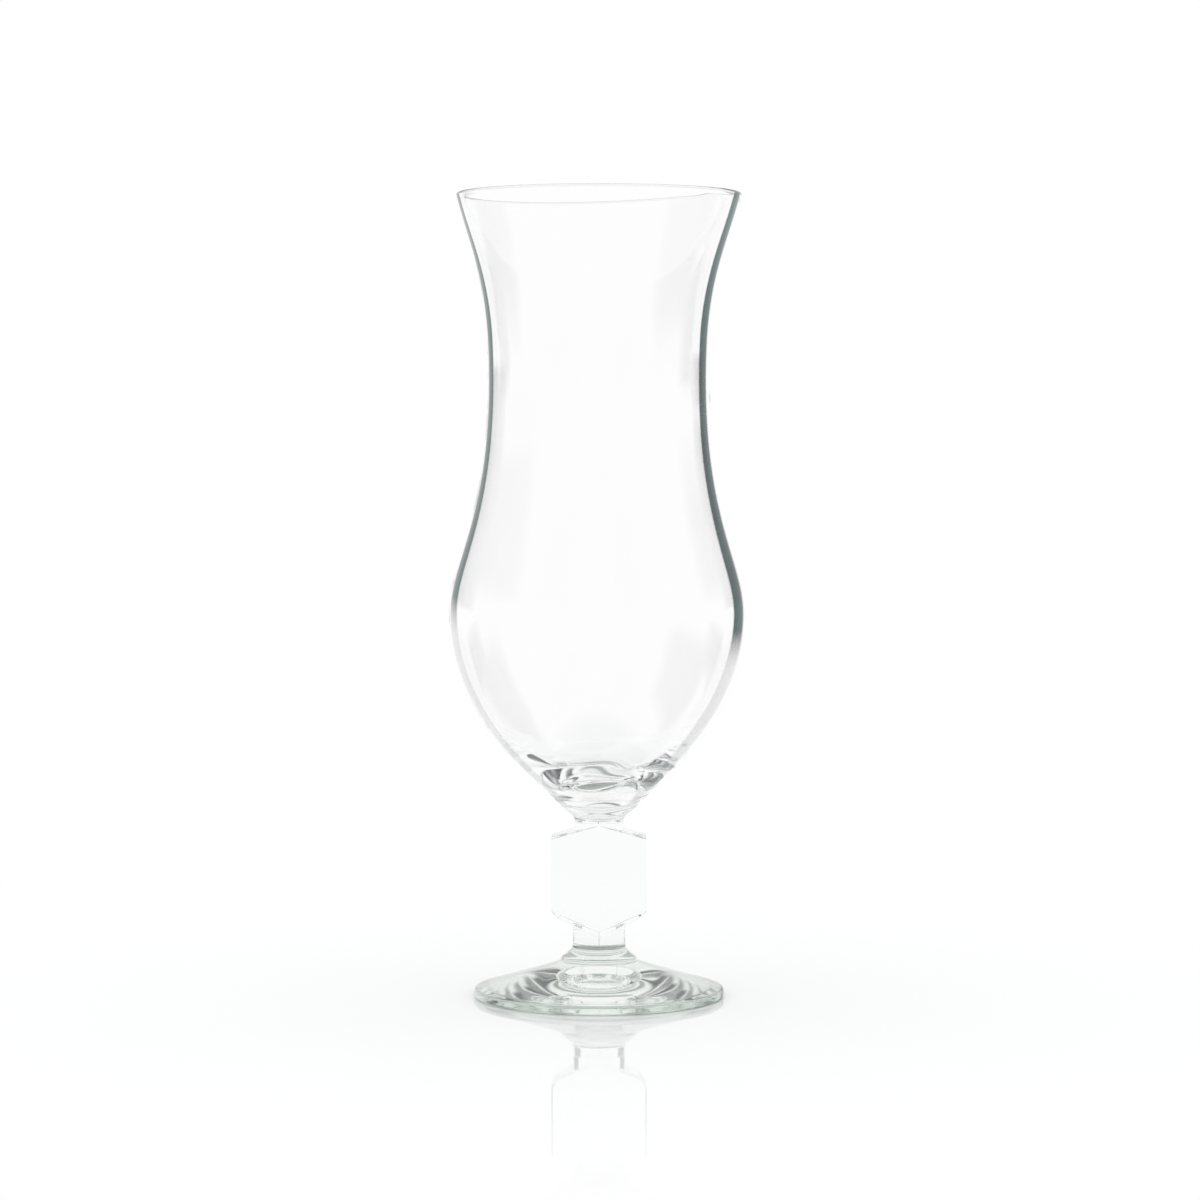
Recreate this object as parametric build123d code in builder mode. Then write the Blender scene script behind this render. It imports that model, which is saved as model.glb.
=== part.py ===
import os
from math import cos, radians, sin, tan

from build123d import *

os.makedirs("parts", exist_ok=True)

# Heights of the three gathers of glass, stacked from the table up, in millimetres
foot_height = 9.5
stem_height = 42.0
bowl_height = 162.5

# Welds: the bowl and the foot meet the stem on flat round seams
bowl_seam_diameter = 21.0
bowl_seam_angle = 59.5
foot_seam_diameter = 20.4

# Bowl: the waist is measured down from the rim, the bulge up from the seam
rim_diameter = 75.6
rim_flare_angle = 14.3
waist_diameter = 59.1
waist_drop = 49.4
bulge_diameter = 80.0
bulge_rise = 51.2
wall_thickness = 2.0
lip_thickness = 1.3
floor_thickness = 6.5

# How far each bend of the bowl's outline runs on, as a share of the stretch that it belongs to
rim_ease = 0.30
waist_ease_above = 0.56
waist_ease_below = 0.60
bulge_ease_above = 0.22
bulge_ease_below = 0.60
seam_ease = 0.06
cavity_side_ease = 0.26
cavity_floor_ease = 0.78

# Stem: necks, and the heights of the block's corners, measured from the seams
upper_neck_diameter = 12.9
upper_flare_height = 4.8
lower_neck_diameter = 14.2
lower_flare_height = 4.0
flare_ease = 0.45
block_width = 25.5
block_depth = 14.4
block_edge_bevel = 1.2
shoulder_drop = 8.8
shoulder_angle = 15.9
shoulder_corner_radius = 0.6
bevel_lift = 14.0
lower_bevel = 2.1
underside_angle = 24.0

# Foot
foot_diameter = 66.8
foot_edge_height = 2.2
foot_edge_radius = 0.9
foot_slope_angle = 21.0
foot_slope_ease = 0.35
standing_ring_width = 4.2
recess_depth = 2.5

# Planes and radii worked out from the sizes above
foot_seam_z = foot_height
bowl_seam_z = foot_seam_z + stem_height
rim_z = bowl_seam_z + bowl_height
bowl_seam_radius = bowl_seam_diameter / 2
foot_seam_radius = foot_seam_diameter / 2

# Bowl: outline from the lip down the outside, across the seam, up the axis and up the inside
lip_radius = lip_thickness / 2
lip_z = rim_z - lip_radius
waist_z = rim_z - waist_drop
bulge_z = bowl_seam_z + bulge_rise
floor_z = bowl_seam_z + floor_thickness
flare_span = lip_z - waist_z
shoulder_span = waist_z - bulge_z
cavity_span = bulge_z - floor_z


def rim_to_waist(rim_radius, waist_radius):
    # Curve that leaves the lip at the flare angle and reaches the waist upright
    reach = rim_ease * flare_span
    flare = radians(rim_flare_angle)
    return (
        (rim_radius, lip_z),
        (rim_radius - reach * sin(flare), lip_z - reach * cos(flare)),
        (waist_radius, waist_z + waist_ease_above * flare_span),
        (waist_radius, waist_z),
    )


def waist_to_bulge(waist_radius, bulge_radius):
    # Shoulder curve, upright at both ends
    return (
        (waist_radius, waist_z),
        (waist_radius, waist_z - waist_ease_below * shoulder_span),
        (bulge_radius, bulge_z + bulge_ease_above * shoulder_span),
        (bulge_radius, bulge_z),
    )


outer_rim = rim_diameter / 2
outer_waist = waist_diameter / 2
outer_bulge = bulge_diameter / 2
inner_rim = outer_rim - lip_thickness
inner_waist = outer_waist - wall_thickness
inner_bulge = outer_bulge - wall_thickness
seam_reach = seam_ease * bulge_rise
seam_lean = radians(bowl_seam_angle)

with BuildPart() as bowl:
    with BuildSketch(Plane.XZ) as bowl_section:
        with BuildLine() as bowl_outline:
            Bezier(*rim_to_waist(outer_rim, outer_waist))
            Bezier(*waist_to_bulge(outer_waist, outer_bulge))
            Bezier(
                (outer_bulge, bulge_z),
                (outer_bulge, bulge_z - bulge_ease_below * bulge_rise),
                (bowl_seam_radius + seam_reach * cos(seam_lean), bowl_seam_z + seam_reach * sin(seam_lean)),
                (bowl_seam_radius, bowl_seam_z),
            )
            Polyline((bowl_seam_radius, bowl_seam_z), (0, bowl_seam_z), (0, floor_z))
            Bezier(
                (0, floor_z),
                (cavity_floor_ease * inner_bulge, floor_z),
                (inner_bulge, bulge_z - cavity_side_ease * cavity_span),
                (inner_bulge, bulge_z),
            )
            Bezier(*reversed(waist_to_bulge(inner_waist, inner_bulge)))
            Bezier(*reversed(rim_to_waist(inner_rim, inner_waist)))
            ThreePointArc((inner_rim, lip_z), (outer_rim - lip_radius, rim_z), (outer_rim, lip_z))
        make_face()
    revolve(axis=Axis.Z)
bowl.part.label = "bowl"
export_step(bowl.part, "parts/bowl.step")

# Stem: a flat block with sloped shoulders and a V-shaped underside, on turned necks that flare to the seams
upper_neck_radius = upper_neck_diameter / 2
lower_neck_radius = lower_neck_diameter / 2
upper_neck_z = bowl_seam_z - upper_flare_height
lower_neck_z = foot_seam_z + lower_flare_height
block_half_width = block_width / 2
shoulder_z = bowl_seam_z - shoulder_drop
block_bottom_z = foot_seam_z + bevel_lift
block_middle_z = (shoulder_z + block_bottom_z) / 2
underside_half_width = block_half_width - lower_bevel
underside_z = block_bottom_z - lower_bevel
block_peak_z = shoulder_z + block_half_width * tan(radians(shoulder_angle))
block_tip_z = underside_z - underside_half_width * tan(radians(underside_angle))
upper_flare_reach = flare_ease * upper_flare_height
lower_flare_reach = flare_ease * lower_flare_height

with BuildPart() as stem:
    with BuildSketch(Plane.XZ) as block_face:
        with BuildLine() as block_outline:
            Polyline(
                (0, block_peak_z),
                (block_half_width, shoulder_z),
                (block_half_width, block_bottom_z),
                (underside_half_width, underside_z),
                (0, block_tip_z),
            )
            mirror(about=Plane.YZ)
        make_face()
        shoulder_corners = [v for v in block_face.vertices() if abs(v.Y - shoulder_z) < shoulder_corner_radius]
        fillet(shoulder_corners, radius=shoulder_corner_radius)
    extrude(amount=block_depth / 2, both=True)
    with BuildSketch(Plane.XY.offset(block_tip_z)) as block_plan:
        Rectangle(block_width, block_depth)
        chamfer(block_plan.vertices(), length=block_edge_bevel)
    extrude(amount=block_peak_z - block_tip_z, mode=Mode.INTERSECT)
    with BuildSketch(Plane.XZ) as neck_sections:
        with BuildLine() as upper_neck:
            Bezier(
                (upper_neck_radius, upper_neck_z),
                (upper_neck_radius, upper_neck_z + upper_flare_reach),
                (
                    bowl_seam_radius - upper_flare_reach * cos(seam_lean),
                    bowl_seam_z - upper_flare_reach * sin(seam_lean),
                ),
                (bowl_seam_radius, bowl_seam_z),
            )
            Polyline(
                (bowl_seam_radius, bowl_seam_z),
                (0, bowl_seam_z),
                (0, block_middle_z),
                (upper_neck_radius, block_middle_z),
                (upper_neck_radius, upper_neck_z),
            )
        make_face()
        with BuildLine() as lower_neck:
            Bezier(
                (lower_neck_radius, lower_neck_z),
                (lower_neck_radius, lower_neck_z - lower_flare_reach),
                (foot_seam_radius, foot_seam_z + lower_flare_reach),
                (foot_seam_radius, foot_seam_z),
            )
            Polyline(
                (foot_seam_radius, foot_seam_z),
                (0, foot_seam_z),
                (0, block_middle_z),
                (lower_neck_radius, block_middle_z),
                (lower_neck_radius, lower_neck_z),
            )
        make_face()
    revolve(axis=Axis.Z)
stem.part.label = "stem"
export_step(stem.part, "parts/stem.step")

# Foot: a low cone with a rounded edge, standing on a ring round a domed recess
foot_radius = foot_diameter / 2
recess_radius = foot_radius - standing_ring_width
slope_reach = foot_slope_ease * (foot_radius - foot_seam_radius)
slope_lean = radians(foot_slope_angle)

with BuildPart() as foot:
    with BuildSketch(Plane.XZ) as foot_section:
        with BuildLine() as foot_outline:
            Polyline((0, recess_depth), (0, foot_seam_z), (foot_seam_radius, foot_seam_z))
            Bezier(
                (foot_seam_radius, foot_seam_z),
                (foot_seam_radius + slope_reach * cos(slope_lean), foot_seam_z - slope_reach * sin(slope_lean)),
                (foot_radius, foot_edge_height),
            )
            Polyline((foot_radius, foot_edge_height), (foot_radius, 0), (recess_radius, 0))
            TangentArc((0, recess_depth), (recess_radius, 0), tangent=(1, 0))
        make_face()
    revolve(axis=Axis.Z)
    outer_edges = foot.edges().filter_by(Plane.XY).group_by(SortBy.RADIUS)[-1]
    fillet(outer_edges, radius=foot_edge_radius)
foot.part.label = "foot"
export_step(foot.part, "parts/foot.step")
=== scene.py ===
import math

import bpy
import numpy as np
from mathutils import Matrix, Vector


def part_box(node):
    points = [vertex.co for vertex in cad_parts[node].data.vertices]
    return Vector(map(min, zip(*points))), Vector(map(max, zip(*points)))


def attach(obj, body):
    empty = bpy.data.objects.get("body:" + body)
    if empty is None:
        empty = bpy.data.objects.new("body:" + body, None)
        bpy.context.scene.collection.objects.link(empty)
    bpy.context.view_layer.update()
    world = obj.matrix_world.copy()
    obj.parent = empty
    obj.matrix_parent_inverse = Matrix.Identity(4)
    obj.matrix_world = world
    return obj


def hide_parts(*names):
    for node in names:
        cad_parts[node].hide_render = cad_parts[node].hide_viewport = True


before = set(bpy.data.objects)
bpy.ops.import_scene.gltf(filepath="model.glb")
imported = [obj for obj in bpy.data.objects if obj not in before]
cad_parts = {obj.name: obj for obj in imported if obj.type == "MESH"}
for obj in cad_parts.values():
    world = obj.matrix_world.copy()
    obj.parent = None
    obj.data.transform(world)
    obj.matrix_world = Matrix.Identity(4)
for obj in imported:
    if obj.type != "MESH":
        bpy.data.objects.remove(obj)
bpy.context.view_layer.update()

mm = 0.001
_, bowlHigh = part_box("bowl")
stemLow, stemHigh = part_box("stem")
_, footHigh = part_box("foot")
footSeamZ = stemLow.z
bowlSeamZ = stemHigh.z
rimZ = bowlHigh.z
bowlSeamRadius = stemHigh.y  # nothing on the stem reaches further along Y than its weld to the bowl
weldGap = 0.01 * mm  # half the gap between two welded faces, so that they never share a plane
capShare = 0.5  # radius of the ring of points inside each welded face, as a share of the seam's


def linearColour(hexColour, alpha=1.0):
    # sRGB hex to the linear colour that nodes take
    srgb = np.array([int(hexColour[i:i + 2], 16) for i in (1, 3, 5)]) / 255.0
    linear = np.where(srgb <= 0.04045, srgb / 12.92, ((srgb + 0.055) / 1.055) ** 2.4)
    return (*linear.tolist(), alpha)


def addNode(tree, kind, settings=None, **sockets):
    # One node: settings go on the node, sockets take a value or another node's output.
    # A socket is called by its name, or by its number after an i.
    node = tree.nodes.new(kind)
    for name, value in (settings or {}).items():
        setattr(node, name, value)
    for name, value in sockets.items():
        key = int(name[1:]) if name[0] == "i" and name[1:].isdigit() else name.replace("_", " ")
        if isinstance(value, bpy.types.NodeSocket):
            tree.links.new(value, node.inputs[key])
        else:
            node.inputs[key].default_value = value
    return node


def smoothRange(tree, value, fromRange, toRange=(0.0, 1.0)):
    # Carries a value from one range to another, with soft ends
    node = addNode(tree, "ShaderNodeMapRange", {"interpolation_type": "SMOOTHSTEP"}, Value=value,
                   From_Min=fromRange[0], From_Max=fromRange[1], To_Min=toRange[0], To_Max=toRange[1])
    return node.outputs["Result"]


def sumOf(tree, first, second):
    return addNode(tree, "ShaderNodeMath", {"operation": "ADD"}, i0=first, i1=second).outputs[0]


def newMaterial(name):
    # An empty material with its output node
    material = bpy.data.materials.new(name)
    material.use_nodes = True
    material.node_tree.nodes.clear()
    output = material.node_tree.nodes.new("ShaderNodeOutputMaterial")
    return material, material.node_tree, output


def bezier(points, count):
    # Cubic curve: each control point weighted by its Bernstein polynomial of t, for t from 0 to 1
    p = np.array(points, float)
    t = np.linspace(0.0, 1.0, count)[:, None]
    return (1 - t) ** 3 * p[0] + 3 * (1 - t) ** 2 * t * p[1] + 3 * (1 - t) * t ** 2 * p[2] + t ** 3 * p[3]


def chain(*stretches):
    # Joins stretches of a profile end to start and drops each shared point
    return np.vstack([stretches[0], *[s[1:] for s in stretches[1:]]])


def evenly(corners, spacing):
    # Points along straight runs, about one spacing apart
    corners = np.array(corners, float)
    runs = []
    for start, end in zip(corners, corners[1:]):
        count = max(2, int(np.hypot(*(end - start)) / spacing) + 1)
        runs.append(np.linspace(start, end, count))
    return chain(*runs)


def softCorner(profile, passes):
    # Rounds the corners of an evenly spaced profile by averaging each point with its two neighbours
    smooth = profile.copy()
    for _ in range(passes):
        smooth[1:-1] = 0.25 * smooth[:-2] + 0.5 * smooth[1:-1] + 0.25 * smooth[2:]
    return smooth


def evenCurve(profile, spacing, passes):
    # Points at equal steps of arc length, smoothed once, plus what a second smoothing would take away
    along = np.concatenate([[0.0], np.cumsum(np.hypot(*np.diff(profile, axis=0).T))])
    steps = np.linspace(0.0, along[-1], int(along[-1] / spacing) + 1)
    even = np.stack([np.interp(steps, along, profile[:, k]) for k in (0, 1)], axis=-1)
    once = softCorner(even, passes)
    return 2 * once - softCorner(once, passes)


def turned(profile, columns):
    # Surface of revolution: (r, z) of the profile and an angle a give (r cos a, r sin a, z)
    angle = np.linspace(0.0, 2 * math.pi, columns, endpoint=False)
    r, z = profile[:, :1], profile[:, 1:]
    return np.stack([r * np.cos(angle), r * np.sin(angle), z + 0 * angle], axis=-1)


def gridQuads(index, onward):
    # Faces between each row of points and the next, where onward holds the next column's points
    return np.stack([index[:-1], onward[:-1], onward[1:], index[1:]], axis=-1).reshape(-1, 4)


def addPiece(name, points, faces, materials):
    # A mesh object in the scene
    mesh = bpy.data.meshes.new(name)
    mesh.from_pydata(points.reshape(-1, 3).tolist(), [], faces)
    for material in materials:
        mesh.materials.append(material)
    piece = bpy.data.objects.new(name, mesh)
    bpy.context.scene.collection.objects.link(piece)
    return piece


def closedPiece(name, points, lowPole, highPole, slots, materials):
    # Rows of points go round the axis and join up at the seam. A pole closes each end of the grid.
    # slots has each row of faces' material, from the fan at the low pole to the one at the high pole.
    rows, columns, _ = points.shape
    vertices = np.vstack([points.reshape(-1, 3), [lowPole], [highPole]])
    index = np.arange(rows * columns).reshape(rows, columns)
    onward = np.roll(index, -1, axis=1)
    low = np.full(columns, rows * columns)
    lowFan = np.stack([low, onward[0], index[0]], axis=-1)
    highFan = np.stack([low + 1, index[-1], onward[-1]], axis=-1)
    faces = gridQuads(index, onward).tolist() + lowFan.tolist() + highFan.tolist()
    piece = addPiece(name, vertices, faces, materials)

    # Welded faces stay flat, and the rest is shaded smooth
    faceRow = np.concatenate([np.arange(1, rows), [0], [rows]])
    materialIndex = np.repeat(np.array(slots)[faceRow], columns).astype(np.int32)
    piece.data.polygons.foreach_set("material_index", materialIndex)
    piece.data.polygons.foreach_set("use_smooth", materialIndex != materials.index(weldMaterial))
    piece.data.update()
    return piece


glassIndex = 1.52

# What every glass starts from. Facing is one less the cosine of the angle to the eye.
plainGlass = {
    "tint": "#fefefe",
    "paintedEdgeShade": "#fefefe",
    "edgeFacing": (0.70, 0.70),  # where the painted edge shade starts on the left and on the right
    "edgeSides": (-25 * mm, 25 * mm),  # where left and right are
    "edgeSoftness": 0.22,
    "edgeWidth": 2.0,  # how far the painted shade goes on before a light margin
    "marginSoftness": 0.05,
    "edgeNarrowing": 0.0,  # later start at the rim
    "narrowFrom": 175 * mm,
    "edgeHeight": (-2 * mm, -1 * mm),  # the painted shade comes in between these heights
    "edgeSlant": 0.12,  # how much lower they are on the right, for each metre across
    "edgeBelow": 0.0,  # share of the painted shade that is left below them
    "roughness": 0.0,
    "dullHeight": (-2 * mm, -1 * mm),  # the roughness changes to the dull one between these heights
    "dullRoughness": 0.0,
    "flowWidth": 6 * mm,
    "flowDepth": 0.005 * mm,
    "flowDetail": 1.0,
    "flowRoughness": 0.4,
}

# Clear soda-lime glass, blown: fire-polished and smooth. Where the wall is seen edge on, a dark, bluish green
# line is painted shade, in place of the light that runs along inside the wall. Below the bulge the painted
# line fades to a pale one.
blownGlass = {
    **plainGlass,
    "name": "clear soda-lime glass, blown",
    "paintedEdgeShade": "#000a09",
    "edgeFacing": (0.665, 0.545),
    "edgeSoftness": 0.025,
    "edgeWidth": 0.16,
    "edgeNarrowing": 0.12,
    "edgeHeight": (92 * mm, 103 * mm),
    "edgeBelow": 0.40,
    "dullHeight": (66 * mm, 54 * mm),
    "dullRoughness": 0.05,
    "flowWidth": 14 * mm,
    "flowDepth": 0.004 * mm,
}

# Inside of the bowl: the same skin, with no dark line of its own.
insideGlass = {
    **blownGlass,
    "name": "clear soda-lime glass, blown, inside",
    "paintedEdgeShade": "#fefefe",
}

# The lip's bead: thin round glass seen along its length. Its two dark lines are painted shade, by the facing
# angle.
lipGlass = {
    **plainGlass,
    "name": "clear soda-lime glass, fire-polished lip",
    "tint": "#f4f7f6",
    "paintedEdgeShade": "#0a1210",
    "edgeFacing": (0.50, 0.50),
    "edgeSoftness": 0.30,
    "flowWidth": 14 * mm,
    "flowDepth": 0.004 * mm,
}

# The same glass, pressed in a mould: the skin has a fine ripple, and the edges get a painted pale grey shade.
# Next to the bowl it is dull, so the weld spreads the light.
pressedGlass = {
    **plainGlass,
    "name": "clear soda-lime glass, pressed",
    "tint": "#fafcfb",
    "paintedEdgeShade": "#eef2ef",
    "dullHeight": (47 * mm, 50 * mm),
    "dullRoughness": 0.05,
    "flowDepth": 0.006 * mm,
}

# The foot is seen along its width, through more of the glass, so it looks greener. Where it turns from the eye
# it gets a painted grey-green shade.
footGlassLook = {
    **plainGlass,
    "name": "clear soda-lime glass, pressed foot",
    "tint": "#f2f7f2",
    "paintedEdgeShade": "#8a9a90",
}

# Edge of the foot: the whole width of the foot lies behind it, so it is the greenest. Its darker grey tint
# and the near-black line where it turns from the eye are painted shade.
footEdgeGlass = {
    **plainGlass,
    "name": "clear soda-lime glass, foot's edge",
    "tint": "#d6e0d8",
    "paintedEdgeShade": "#0c1410",
    "edgeFacing": (0.68, 0.68),
    "edgeSoftness": 0.15,
}

# Underside of the foot: chilled by the mould, so the skin is dull and spreads the light.
chilledGlass = {
    **plainGlass,
    "name": "clear soda-lime glass, chilled skin",
    "tint": "#f1f6f1",
    "paintedEdgeShade": "#f1f6f1",
    "roughness": 0.05,
    "dullRoughness": 0.05,
}


def paintEdgeShade(tree, look, axes, normal):
    # Clear in the middle, then painted shade where the glass turns away from the eye, then a light margin
    facing = addNode(tree, "ShaderNodeLayerWeight", Blend=0.5, Normal=normal).outputs["Facing"]

    # How strong the painted shade is: by height, and lower down on the right than on the left
    slanted = addNode(tree, "ShaderNodeMath", {"operation": "MULTIPLY_ADD"}, i0=axes.outputs["X"],
                      i1=look["edgeSlant"], i2=axes.outputs["Z"])
    strength = smoothRange(tree, slanted.outputs[0], look["edgeHeight"], (look["edgeBelow"], 1.0))

    # Where the painted shade starts: by side, and nearer to the edge at the rim
    side = addNode(tree, "ShaderNodeMapRange", Value=axes.outputs["X"],
                   From_Min=look["edgeSides"][0], From_Max=look["edgeSides"][1],
                   To_Min=look["edgeFacing"][0], To_Max=look["edgeFacing"][1])
    rise = smoothRange(tree, axes.outputs["Z"], (look["narrowFrom"], rimZ), (0.0, look["edgeNarrowing"]))
    start = sumOf(tree, side.outputs["Result"], rise)
    full = sumOf(tree, start, look["edgeSoftness"])
    last = sumOf(tree, start, look["edgeWidth"])
    gone = sumOf(tree, last, look["marginSoftness"])
    margin = smoothRange(tree, facing, (last, gone), (strength, 0.0))
    edge = smoothRange(tree, facing, (start, full), (0.0, margin))
    # Painted shade: the dark edge colour is mixed over the glass's own tint by how far the glass faces away
    # from the eye
    colour = addNode(tree, "ShaderNodeMix", {"data_type": "RGBA"}, i0=edge,
                     i6=linearColour(look["tint"]), i7=linearColour(look["paintedEdgeShade"]))
    return colour.outputs[2]


def clearGlass(look):
    # Glass with a slow ripple in its skin. What is the same all over goes straight to the shader.
    material, tree, output = newMaterial(look["name"])
    place = addNode(tree, "ShaderNodeTexCoord")
    axes = addNode(tree, "ShaderNodeSeparateXYZ", Vector=place.outputs["Object"])
    flow = addNode(tree, "ShaderNodeTexNoise", Vector=place.outputs["Object"], Scale=1.0 / look["flowWidth"],
                   Detail=look["flowDetail"], Roughness=look["flowRoughness"])
    ripple = addNode(tree, "ShaderNodeBump", Height=flow.outputs["Fac"], Strength=1.0,
                     Distance=look["flowDepth"])
    normal = ripple.outputs["Normal"]
    colour = linearColour(look["tint"])
    # A glass with a different edge colour gets painted edge shade by the facing angle
    if look["paintedEdgeShade"] != look["tint"]:
        colour = paintEdgeShade(tree, look, axes, normal)
    roughness = look["roughness"]
    if look["dullRoughness"] != look["roughness"]:
        change = (look["roughness"], look["dullRoughness"])
        roughness = smoothRange(tree, axes.outputs["Z"], look["dullHeight"], change)
    glass = addNode(tree, "ShaderNodeBsdfPrincipled", Base_Color=colour, Roughness=roughness,
                    IOR=glassIndex, Transmission_Weight=1.0, Normal=normal)
    tree.links.new(glass.outputs["BSDF"], output.inputs["Surface"])
    return material


def weldedFace():
    # Where two pieces are welded the glass runs on, so the face between them bends no light
    material, tree, output = newMaterial("welded glass, no surface")
    clear = addNode(tree, "ShaderNodeBsdfTransparent", Color=(1.0, 1.0, 1.0, 1.0))
    tree.links.new(clear.outputs["BSDF"], output.inputs["Surface"])
    return material


bowlMaterial = clearGlass(blownGlass)
lipMaterial = clearGlass(lipGlass)
insideMaterial = clearGlass(insideGlass)
stemMaterial = clearGlass(pressedGlass)
footMaterial = clearGlass(footGlassLook)
footEdgeMaterial = clearGlass(footEdgeGlass)
undersideMaterial = clearGlass(chilledGlass)
weldMaterial = weldedFace()
print("stage 2: glass materials made")

# Bowl: blown vessel. Lengths are in metres. An ease is how far a bend of the outline runs on, as a share of
# the stretch that it belongs to.
bowl = {
    "rimRadius": 37.8 * mm,
    "flareAngle": math.radians(14.3),
    "rimEase": 0.30,
    "waistRadius": 29.55 * mm,
    "waistZ": rimZ - 49.4 * mm,
    "waistEaseAbove": 0.56,
    "waistEaseBelow": 0.60,
    "bulgeRadius": bowlHigh.x,
    "bulgeZ": bowlSeamZ + 51.2 * mm,
    "bulgeEaseAbove": 0.22,
    "bulgeEaseBelow": 0.60,
    "seamAngle": math.radians(59.5),
    "seamEase": 0.06,
    "floorZ": bowlSeamZ + 6.5 * mm,
    "cavitySideEase": 0.26,
    "cavityFloorEase": 0.78,
    "wall": 2.0 * mm,
    "lipBead": 0.72 * mm,  # radius of the fire-polished bead
    "fluteDepth": 0.06 * mm,  # slow flutes round the weld
    "fluteCount": 5,
    "flutePhase": 0.7,
    "fluteReach": 4.0 * mm,
    "offCentre": 0.5 * mm,  # the inside sits to the left, so the wall is thicker on the right
    "waviness": 0.04 * mm,  # unevenness of the blown inner wall
    "calmBelowRim": 14 * mm,  # over these lengths the inner wall comes true again
    "calmAboveFloor": 10 * mm,
    "swirl": 0.20 * mm,
    "swirlPhases": (0.6, 1.9),
    "swirlReach": 11 * mm,
    "flarePoints": 56,
    "shoulderPoints": 64,
    "bellyPoints": 90,
    "beadPoints": 25,
    "rowSpacing": 0.78 * mm,
    "smoothing": 40,  # passes that even out the curvature where two stretches of the outline meet
    "columns": 192,
}


def bowlOutline(rimRadius, waistRadius, bulgeRadius, lipZ):
    # Flare from the lip to the upright waist, then the shoulder down to the upright bulge
    waistZ, bulgeZ = bowl["waistZ"], bowl["bulgeZ"]
    flareSpan = lipZ - waistZ
    shoulderSpan = waistZ - bulgeZ
    reach = bowl["rimEase"] * flareSpan
    flare = bezier([
        (rimRadius, lipZ),
        (rimRadius - reach * math.sin(bowl["flareAngle"]), lipZ - reach * math.cos(bowl["flareAngle"])),
        (waistRadius, waistZ + bowl["waistEaseAbove"] * flareSpan),
        (waistRadius, waistZ),
    ], bowl["flarePoints"])
    shoulder = bezier([
        (waistRadius, waistZ),
        (waistRadius, waistZ - bowl["waistEaseBelow"] * shoulderSpan),
        (bulgeRadius, bulgeZ + bowl["bulgeEaseAbove"] * shoulderSpan),
        (bulgeRadius, bulgeZ),
    ], bowl["shoulderPoints"])
    return chain(flare, shoulder)


def outerBowl(lipZ):
    # Outside, from the lip down to the seam
    bulgeRadius, bulgeZ = bowl["bulgeRadius"], bowl["bulgeZ"]
    bellySpan = bulgeZ - bowlSeamZ
    reach = bowl["seamEase"] * bellySpan
    bendRadius = bowlSeamRadius + reach * math.cos(bowl["seamAngle"])
    belly = bezier([
        (bulgeRadius, bulgeZ),
        (bulgeRadius, bulgeZ - bowl["bulgeEaseBelow"] * bellySpan),
        (bendRadius, bowlSeamZ + reach * math.sin(bowl["seamAngle"])),
        (bowlSeamRadius, bowlSeamZ + weldGap),
    ], bowl["bellyPoints"])
    upper = bowlOutline(bowl["rimRadius"], bowl["waistRadius"], bulgeRadius, lipZ)
    return evenCurve(chain(upper, belly), bowl["rowSpacing"], bowl["smoothing"])


def innerBowl(lipZ):
    # Inside, from the lip down to the last ring before the middle of the floor
    rimRadius = bowl["rimRadius"] - 2 * bowl["lipBead"]
    waistRadius = bowl["waistRadius"] - bowl["wall"]
    bulgeRadius = bowl["bulgeRadius"] - bowl["wall"]
    cavitySpan = bowl["bulgeZ"] - bowl["floorZ"]
    cavity = bezier([
        (bulgeRadius, bowl["bulgeZ"]),
        (bulgeRadius, bowl["bulgeZ"] - bowl["cavitySideEase"] * cavitySpan),
        (bowl["cavityFloorEase"] * bulgeRadius, bowl["floorZ"]),
        (0.0, bowl["floorZ"]),
    ], bowl["bellyPoints"])
    upper = bowlOutline(rimRadius, waistRadius, bulgeRadius, lipZ)
    return evenCurve(chain(upper, cavity), bowl["rowSpacing"], bowl["smoothing"])[:-1]


def weldFlutes(angle, z):
    # A cosine of a few turns round the weld, which dies away by a bell curve of the distance from it
    wave = np.cos(bowl["fluteCount"] * angle + bowl["flutePhase"])
    return bowl["fluteDepth"] * wave * np.exp(-((z - bowlSeamZ) / bowl["fluteReach"]) ** 2)


def wallWander(angle, height):
    # Three slow waves of the height in millimetres, each carried round by the angle
    return (np.sin(height / 4.7 + 1.5 * np.sin(angle)) + 0.7 * np.sin(height / 3.1 + 2 * angle + 1.0)
            + 0.9 * np.sin(height / 9.0 - angle + 2.2))


def floorSwirl(x, y):
    # Two crossed waves of the place on the floor in millimetres
    first, second = bowl["swirlPhases"]
    return np.sin(x / 3.6 + 0.9 * np.sin(y / 3.0) + first) + 0.8 * np.sin((0.5 * x + y) / 2.9 + second)


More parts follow.
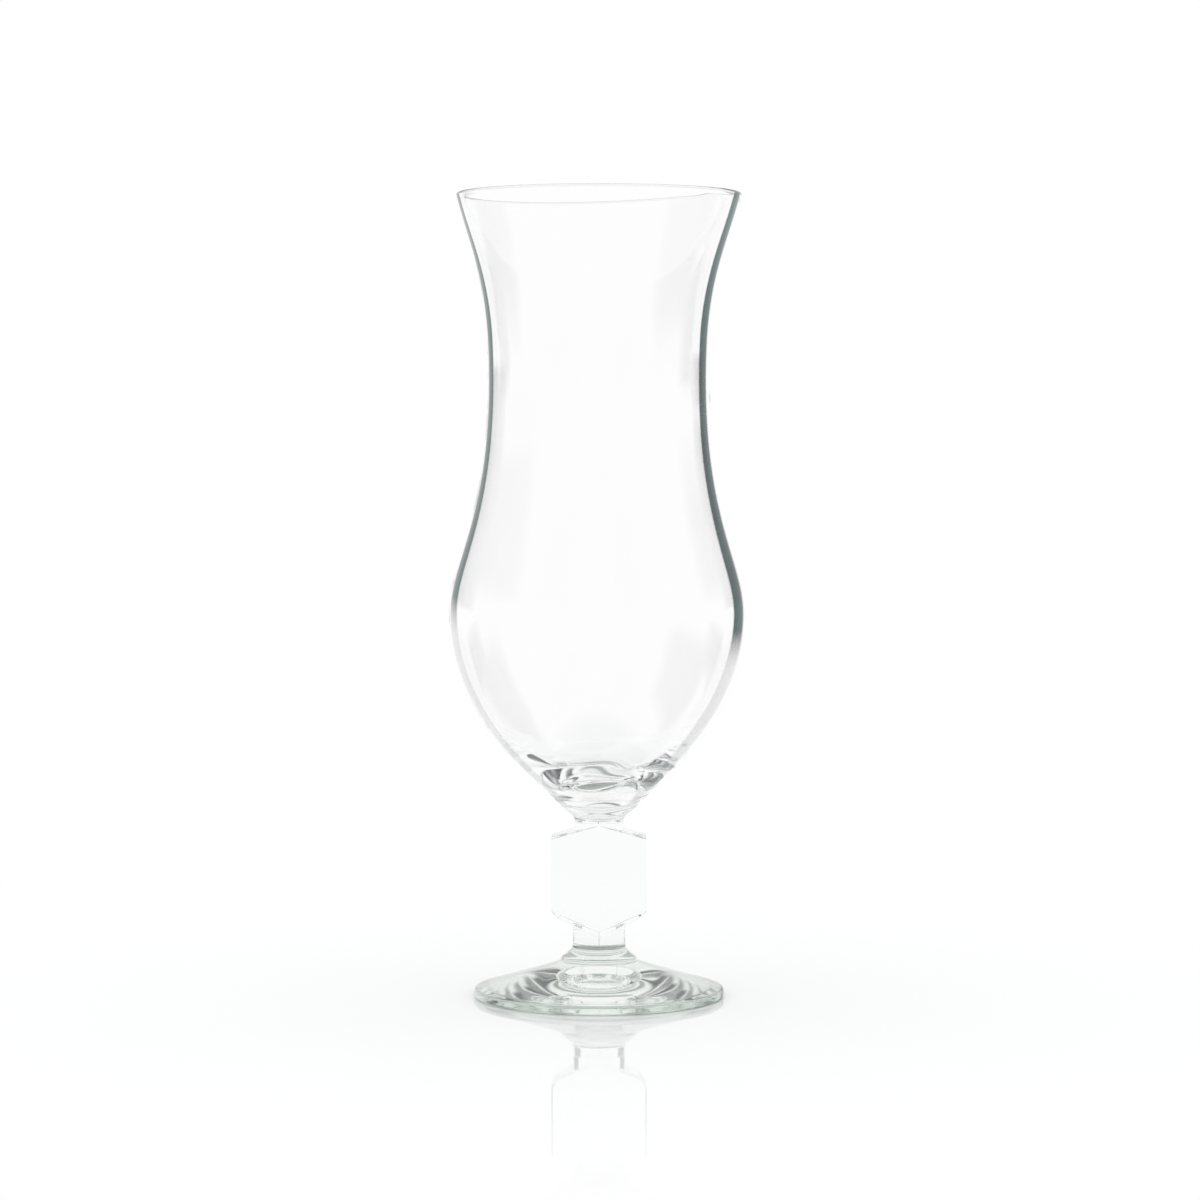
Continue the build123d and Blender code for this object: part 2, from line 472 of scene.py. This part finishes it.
def buildBowl():
    bead, floorZ = bowl["lipBead"], bowl["floorZ"]
    lipZ = rimZ - bead
    outer = outerBowl(lipZ)
    turn = np.linspace(0.0, math.pi, bowl["beadPoints"])
    lip = np.stack([bowl["rimRadius"] - bead + bead * np.cos(turn), lipZ + bead * np.sin(turn)], axis=-1)
    seamZ = bowlSeamZ + weldGap
    cap = np.array([[capShare * bowlSeamRadius, seamZ], [outer[-1, 0], seamZ]])
    outside = chain(cap, outer[::-1], lip)
    points = turned(np.vstack([outside, innerBowl(lipZ)[1:]]), bowl["columns"])
    skin, cavity = points[:len(outside)], points[len(outside):]

    flutes = weldFlutes(np.arctan2(skin[..., 1], skin[..., 0]), skin[..., 2])
    skin[..., :2] *= (1 + flutes / np.hypot(skin[..., 0], skin[..., 1]))[..., None]

    # The inner wall wanders and sits off centre, and comes true at the lip and the floor
    fromRim = np.clip((rimZ - cavity[..., 2]) / bowl["calmBelowRim"], 0, 1)
    fromFloor = np.clip((cavity[..., 2] - floorZ) / bowl["calmAboveFloor"], 0, 1)
    fade = fromRim * fromFloor
    wander = wallWander(np.arctan2(cavity[..., 1], cavity[..., 0]), cavity[..., 2] / mm)
    radius = np.maximum(np.hypot(cavity[..., 0], cavity[..., 1]), 1 * mm)
    cavity[..., :2] *= (1 + bowl["waviness"] * fade * wander / radius)[..., None]
    cavity[..., 0] -= bowl["offCentre"] * fade

    # Where the gather was turned, the floor has a lazy swirl that dies away up the wall
    swirl = floorSwirl(cavity[..., 0] / mm, cavity[..., 1] / mm)
    cavity[..., 2] += bowl["swirl"] * swirl * np.exp(-((cavity[..., 2] - floorZ) / bowl["swirlReach"]) ** 2)

    lowPole = (0, 0, seamZ)
    highPole = (0, 0, floorZ + bowl["swirl"] * floorSwirl(0.0, 0.0))
    slots = np.zeros(len(points) + 1, int)
    slots[:2] = 1
    slots[len(outside) - len(lip) + 1:len(outside)] = 2
    slots[len(outside):] = 3
    return closedPiece("bowl_glass", points, lowPole, highPole, slots,
                       [bowlMaterial, weldMaterial, lipMaterial, insideMaterial])


bowlGlass = buildBowl()
print("stage 3: bowl made,", len(bowlGlass.data.polygons), "faces")

# Stem: pressed flat block with sloped shoulders and a V-shaped underside, between two turned necks
stem = {
    "upperNeckRadius": 6.45 * mm,
    "upperFlare": 4.8 * mm,
    "lowerNeckRadius": 7.1 * mm,
    "lowerFlare": 4.0 * mm,
    "flareEase": 0.45,
    "footSeamRadius": 10.2 * mm,
    "halfWidth": stemHigh.x,
    "halfDepth": 7.2 * mm,
    "edgeBevel": 1.2 * mm,
    "shoulderDrop": 8.8 * mm,  # from the bowl's weld down to the block's upper corners
    "shoulderAngle": math.radians(15.9),
    "bevelLift": 14.0 * mm,  # from the foot's weld up to the block's lower corners
    "lowerBevel": 2.1 * mm,
    "undersideAngle": math.radians(24.0),
    "edgeSharpness": 60.0,  # higher is a crisper edge
    "neckSharpness": 30.0,
    "cornerPasses": 3,
    "rowSpacing": 0.22 * mm,
    "lowerFlareRows": 40,
    "upperFlareRows": 30,
    "lowerNeckRows": 8,
    "upperNeckRows": 4,
    "sideColumns": 36,  # in each quarter, along the side, the bevel and the flat
    "sideCrowding": 1.5,  # above 1 the side's columns crowd towards the bevel
    "bevelColumns": 8,
    "bevelMargin": math.radians(0.5),
    "flatColumns": 28,
    "leastColumnWidth": 0.9 * mm,  # half width that the columns are spread for where the block is narrower
    "leastWidth": 0.01 * mm,
}
bevelReach = stem["halfWidth"] + stem["halfDepth"] - stem["edgeBevel"]  # x plus y anywhere on a bevel


def stemAngles(width):
    # Angles of a quarter's columns, row by row. They run along the side to the bevel, across it, then along
    # the flat, so that the block's edges fall on grid lines. The other quarters mirror the first.
    w = np.maximum(width, stem["leastColumnWidth"])[:, None]
    flatWidth = np.minimum(w, stem["halfWidth"] - stem["edgeBevel"])
    sideDepth = np.minimum(stem["halfDepth"], bevelReach - w)
    bevelStart = np.arctan2(sideDepth, w) - stem["bevelMargin"]
    bevelEnd = np.arctan2(stem["halfDepth"], flatWidth) + stem["bevelMargin"]
    side = 1 - (1 - np.linspace(0, 1, stem["sideColumns"], endpoint=False)) ** stem["sideCrowding"]
    bevel = np.linspace(0, 1, stem["bevelColumns"], endpoint=False)
    flat = np.linspace(0, 1, stem["flatColumns"] + 1)
    quarter = np.hstack([side * bevelStart, bevelStart + bevel * (bevelEnd - bevelStart),
                         bevelEnd + flat * (math.pi / 2 - bevelEnd)])
    half = np.hstack([quarter, math.pi - quarter[:, -2::-1]])
    return np.hstack([half, math.pi + half[:, 1:-1]])


def blockRadius(angle, width):
    # Soft least of the distances from the axis to the block's sides, flats and bevels along each angle
    nearNought = 1e-6
    c = np.abs(np.cos(angle)) + nearNought
    s = np.abs(np.sin(angle)) + nearNought
    side = np.maximum(width[:, None], stem["leastWidth"]) / c
    limits = [side, stem["halfDepth"] / s, bevelReach / (c + s)]
    sharp = stem["edgeSharpness"]
    return sum((limit / mm) ** -sharp for limit in limits) ** (-1 / sharp) * mm


def buildStem():
    upperNeckZ = bowlSeamZ - stem["upperFlare"]
    lowerNeckZ = footSeamZ + stem["lowerFlare"]
    shoulderZ = bowlSeamZ - stem["shoulderDrop"]
    cornerZ = footSeamZ + stem["bevelLift"]
    undersideWidth = stem["halfWidth"] - stem["lowerBevel"]
    undersideZ = cornerZ - stem["lowerBevel"]
    peakZ = shoulderZ + stem["halfWidth"] * math.tan(stem["shoulderAngle"])
    tipZ = undersideZ - undersideWidth * math.tan(stem["undersideAngle"])

    # Half width of the block by height, as an outline of evenly spaced points with softened corners
    corners = [
        (0.0, tipZ),
        (undersideWidth, undersideZ),
        (stem["halfWidth"], cornerZ),
        (stem["halfWidth"], shoulderZ),
        (0.0, peakZ),
    ]
    outline = softCorner(evenly(corners, stem["rowSpacing"]), stem["cornerPasses"])

    # Radius of the necks by height
    upperReach = stem["flareEase"] * stem["upperFlare"]
    lowerReach = stem["flareEase"] * stem["lowerFlare"]
    bendRadius = bowlSeamRadius - upperReach * math.cos(bowl["seamAngle"])
    lowerFlare = bezier([
        (stem["footSeamRadius"], footSeamZ + weldGap),
        (stem["footSeamRadius"], footSeamZ + lowerReach),
        (stem["lowerNeckRadius"], lowerNeckZ - lowerReach),
        (stem["lowerNeckRadius"], lowerNeckZ),
    ], stem["lowerFlareRows"])
    upperFlare = bezier([
        (stem["upperNeckRadius"], upperNeckZ),
        (stem["upperNeckRadius"], upperNeckZ + upperReach),
        (bendRadius, bowlSeamZ - upperReach * math.sin(bowl["seamAngle"])),
        (bowlSeamRadius, bowlSeamZ - weldGap),
    ], stem["upperFlareRows"])
    neck = np.vstack([lowerFlare, upperFlare])

    # Rows: up the lower flare and neck, along the block's outline and up the upper neck and flare
    lowerNeck = np.linspace(lowerNeckZ, tipZ, stem["lowerNeckRows"], endpoint=False)[1:]
    upperNeck = np.linspace(peakZ, upperNeckZ, stem["upperNeckRows"])[1:-1]
    z = np.concatenate([lowerFlare[:, 1], lowerNeck, outline[:, 1], upperNeck, upperFlare[:, 1]])
    width = np.interp(z, outline[:, 1], outline[:, 0], left=0.0, right=0.0)
    angle = stemAngles(width)

    # Surface by angle and height: the soft greatest of the block's radius and the neck's
    soft = stem["neckSharpness"]
    block = blockRadius(angle, width) / mm
    neckRadius = np.interp(z, neck[:, 1], neck[:, 0])[:, None] / mm
    radius = (block ** soft + neckRadius ** soft) ** (1 / soft) * mm + weldFlutes(angle, z[:, None])
    points = np.stack([radius * np.cos(angle), radius * np.sin(angle), z[:, None] + 0 * angle], axis=-1)
    inward = np.array([capShare, capShare, 1.0])
    points = np.concatenate([points[:1] * inward, points, points[-1:] * inward])
    slots = np.zeros(len(points) + 1, int)
    slots[[0, 1, -2, -1]] = 1
    lowPole = (0, 0, footSeamZ + weldGap)
    highPole = (0, 0, bowlSeamZ - weldGap)
    return closedPiece("stem_glass", points, lowPole, highPole, slots, [stemMaterial, weldMaterial])


stemGlass = buildStem()
print("stage 4: stem made,", len(stemGlass.data.polygons), "faces")

# Foot: pressed low cone on a standing ring, hollowed underneath
foot = {
    "radius": footHigh.x,
    "edgeHeight": 2.2 * mm,
    "edgeBand": 0.8 * mm,  # width of the edge that has its own look
    "edgeSpacing": 0.12 * mm,
    "edgePasses": 30,  # passes that round the edge
    "edgeRows": 8,  # rows at the end of the slope that the rounding takes up
    "slopeAngle": math.radians(21.0),
    "slopeEase": 0.35,
    "slopeRows": 60,
    "ringWidth": 4.2 * mm,
    "recessDepth": 2.5 * mm,
    "recessRows": 50,
    "columns": 192,
}


def buildFoot():
    # Slope: a curve of three control points, weighted by (1 - t) squared, 2 (1 - t) t and t squared
    seamRadius, seamZ = stem["footSeamRadius"], footSeamZ - weldGap
    reach = foot["slopeEase"] * (foot["radius"] - seamRadius)
    start = np.array([seamRadius, seamZ])
    bend = start + reach * np.array([math.cos(foot["slopeAngle"]), -math.sin(foot["slopeAngle"])])
    edge = np.array([foot["radius"], foot["edgeHeight"]])
    t = np.linspace(0.0, 1.0, foot["slopeRows"])[:, None]
    slope = (1 - t) ** 2 * start + 2 * (1 - t) * t * bend + t ** 2 * edge

    # Rounded edge and standing ring
    ringRadius = foot["radius"] - foot["ringWidth"]
    corners = [slope[-foot["edgeRows"]], edge, (foot["radius"], 0.0), (ringRadius, 0.0)]
    rim = softCorner(evenly(corners, foot["edgeSpacing"]), foot["edgePasses"])

    # Hollow: a dome whose depth falls off with the square of the radius
    share = np.linspace(1.0, 0.0, foot["recessRows"])[1:-1]
    dome = np.stack([ringRadius * share, foot["recessDepth"] * (1 - share ** 2)], axis=-1)
    cap = np.array([[capShare * seamRadius, seamZ]])
    profile = np.vstack([cap, slope[:-foot["edgeRows"]], rim, dome])[::-1]
    points = turned(profile, foot["columns"])
    slots = np.zeros(len(points) + 1, int)
    slots[:len(dome) + 1] = 2
    slots[-2:] = 1
    slots[1:-1][profile[:-1, 0] > foot["radius"] - foot["edgeBand"]] = 3
    return closedPiece("foot_glass", points, (0, 0, foot["recessDepth"]), (0, 0, seamZ), slots,
                       [footMaterial, weldMaterial, undersideMaterial, footEdgeMaterial])


footGlass = buildFoot()
print("stage 5: foot made,", len(footGlass.data.polygons), "faces")

for piece, node in ((bowlGlass, "bowl"), (stemGlass, "stem"), (footGlass, "foot")):
    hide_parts(node)
    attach(piece, "root")

# Studio: white floor with a gloss under a white sky with a greyer ceiling
studio = {
    "floorRadius": 2.5,
    "floorRings": (1.0, 0.3, 0.05),  # shares of that radius
    "floorDrop": 0.05 * mm,
    "floorColumns": 64,
    "floorColour": "#fcfdfd",
    "floorRoughness": 0.02,
    "floorIndex": 1.49,
    "whiteFrom": 0.10,  # the sheet runs out to plain white between these distances
    "whiteTo": 0.30,
    "skyLight": 1.06,
    "ceilingFrom": 0.85,  # sine of the elevation, where the grey ceiling starts and where it is full
    "ceilingTo": 0.97,
    "ceilingColour": "#8b9796",
}
white = (1.0, 1.0, 1.0, 1.0)


def whiteSheet():
    # White acrylic: a pale mirror image and a soft shadow under the foot, and plain white further out
    material, tree, output = newMaterial("white acrylic sheet")
    sheet = addNode(tree, "ShaderNodeBsdfPrincipled", Base_Color=linearColour(studio["floorColour"]),
                    Roughness=studio["floorRoughness"], IOR=studio["floorIndex"])
    place = addNode(tree, "ShaderNodeTexCoord")
    away = addNode(tree, "ShaderNodeVectorMath", {"operation": "LENGTH"}, i0=place.outputs["Object"])
    far = smoothRange(tree, away.outputs["Value"], (studio["whiteFrom"], studio["whiteTo"]))
    plain = addNode(tree, "ShaderNodeEmission", Color=white, Strength=1.0)
    sweep = addNode(tree, "ShaderNodeMixShader", i0=far, i1=sheet.outputs["BSDF"],
                    i2=plain.outputs["Emission"])
    tree.links.new(sweep.outputs["Shader"], output.inputs["Surface"])
    return material


def buildFloor():
    # Disc: rings of points from the outside in, with one face in the middle
    r = np.array(studio["floorRings"]) * studio["floorRadius"]
    points = turned(np.stack([r, np.full(len(r), -studio["floorDrop"])], axis=-1), studio["floorColumns"])
    index = np.arange(points.shape[0] * points.shape[1]).reshape(points.shape[:2])
    faces = gridQuads(index, np.roll(index, -1, axis=1)).tolist() + [index[-1].tolist()]
    floor = addPiece("floor", points, faces, [whiteSheet()])


# Cards: dark grey paper, far off, curved round the glass and raised above the floor. Only the glass sees them,
# in light that it bends upwards. Edges are in degrees to the right of the line of sight. Fade is half the
# width of each soft edge, in degrees to the sides and in metres at the top and bottom.
lowCard = {"radius": 2.0, "heights": (0.17, 0.62), "fade": (4, 0.05)}
highCard = {"radius": 1.0, "heights": (0.30, 1.10), "fade": (8, 0.12)}
cards = [
    {**lowCard, "name": "right low card", "edges": (34, 60)},
    {**lowCard, "name": "left low card", "edges": (-66, -36)},
    {**highCard, "name": "right high card", "edges": (40, 84)},
    {**highCard, "name": "left high card", "edges": (-112, -56)},
]
cardPaper = {
    "colour": "#1f2a2d",
    "columns": 121,
    "rows": 61,
}


def softStep(value, middle, softness):
    # Rises smoothly from 0 to 1 across the middle: 3 t squared less 2 t cubed
    t = np.clip((value - middle) / (2 * softness) + 0.5, 0, 1)
    return t * t * (3 - 2 * t)


def buildCard(card, material):
    # Arc of an upright cylinder, with bearing from +Y and height as the two parameters.
    # The shade fades out towards the edges by soft steps.
    first, last = card["edges"]
    low, high = card["heights"]
    soft, ease = card["fade"]
    bearing = np.linspace(first - soft, last + soft, cardPaper["columns"])[None, :]
    height = np.linspace(low - ease, high + ease, cardPaper["rows"])[:, None]
    x = card["radius"] * np.sin(np.radians(bearing)) + 0 * height
    y = card["radius"] * np.cos(np.radians(bearing)) + 0 * height
    points = np.stack([x, y, 0 * x + height], axis=-1)
    across = softStep(bearing, first, soft) * softStep(-bearing, -last, soft)
    shade = across * softStep(height, low, ease) * softStep(-height, -high, ease)
    index = np.arange(shade.size).reshape(shade.shape)
    faces = gridQuads(index[:, :-1], index[:, 1:]).tolist()
    piece = addPiece(card["name"], points, faces, [material])
    attribute = piece.data.attributes.new("shade", "FLOAT", "POINT")
    attribute.data.foreach_set("value", shade.ravel().astype(np.float32))
    piece.visible_camera = False
    piece.visible_diffuse = False
    piece.visible_glossy = False
    piece.visible_shadow = False


def greyPaper():
    # Grey paper with faded edges, which gives the glass its dark patches
    material, tree, output = newMaterial("grey paper")
    fade = addNode(tree, "ShaderNodeAttribute", {"attribute_name": "shade"})
    clear = addNode(tree, "ShaderNodeBsdfTransparent", Color=white)
    tone = addNode(tree, "ShaderNodeEmission", Color=linearColour(cardPaper["colour"]), Strength=1.0)
    paper = addNode(tree, "ShaderNodeMixShader", i0=fade.outputs["Fac"], i1=clear.outputs["BSDF"],
                    i2=tone.outputs["Emission"])
    tree.links.new(paper.outputs["Shader"], output.inputs["Surface"])
    return material


def buildWorld():
    # White to the eye, through the glass and in a gloss, and soft even light on everything else
    world = bpy.data.worlds.new("white surround")
    world.use_nodes = True
    tree = world.node_tree
    tree.nodes.clear()
    path = addNode(tree, "ShaderNodeLightPath")
    seen = addNode(tree, "ShaderNodeMath", {"operation": "MAXIMUM"}, i0=path.outputs["Is Camera Ray"],
                   i1=path.outputs["Is Transmission Ray"])
    shown = addNode(tree, "ShaderNodeMath", {"operation": "MAXIMUM"}, i0=seen.outputs[0],
                    i1=path.outputs["Is Glossy Ray"]).outputs[0]
    light = addNode(tree, "ShaderNodeMapRange", Value=shown, To_Min=studio["skyLight"], To_Max=1.0)
    place = addNode(tree, "ShaderNodeTexCoord")
    axes = addNode(tree, "ShaderNodeSeparateXYZ", Vector=place.outputs["Generated"])
    ceilingRange = (studio["ceilingFrom"], studio["ceilingTo"])
    ceiling = smoothRange(tree, axes.outputs["Z"], ceilingRange, (0.0, shown))
    tone = addNode(tree, "ShaderNodeMix", {"data_type": "RGBA"}, i0=ceiling, i6=white,
                   i7=linearColour(studio["ceilingColour"]))
    sky = addNode(tree, "ShaderNodeBackground", Color=tone.outputs[2], Strength=light.outputs["Result"])
    output = tree.nodes.new("ShaderNodeOutputWorld")
    tree.links.new(sky.outputs["Background"], output.inputs["Surface"])
    bpy.context.scene.world = world


buildFloor()
cardMaterial = greyPaper()
for card in cards:
    buildCard(card, cardMaterial)
buildWorld()

# Camera: a little below the rim, looking slightly down
view = {
    "aside": 0.27 * mm,
    "distance": 0.94,
    "height": 0.153,
    "aimHeight": 0.106,
    "focalLength": 106.0,
    "sensorWidth": 36.0,
    "bounces": 128,  # light that runs up inside the wall is mirrored many times
}


def buildCamera():
    data = bpy.data.cameras.new("camera")
    data.lens = view["focalLength"]
    data.sensor_width = view["sensorWidth"]
    camera = bpy.data.objects.new("camera", data)
    camera.location = (view["aside"], -view["distance"], view["height"])
    tilt = math.atan2(view["height"] - view["aimHeight"], view["distance"])
    camera.rotation_euler = (math.pi / 2 - tilt, 0.0, 0.0)
    bpy.context.scene.collection.objects.link(camera)
    bpy.context.scene.camera = camera


buildCamera()
bpy.context.scene.view_settings.view_transform = "Standard"
bpy.context.scene.cycles.max_bounces = view["bounces"]
bpy.context.scene.cycles.transmission_bounces = view["bounces"]
bpy.context.scene.cycles.glossy_bounces = view["bounces"]
print("stage 6: studio and camera placed")
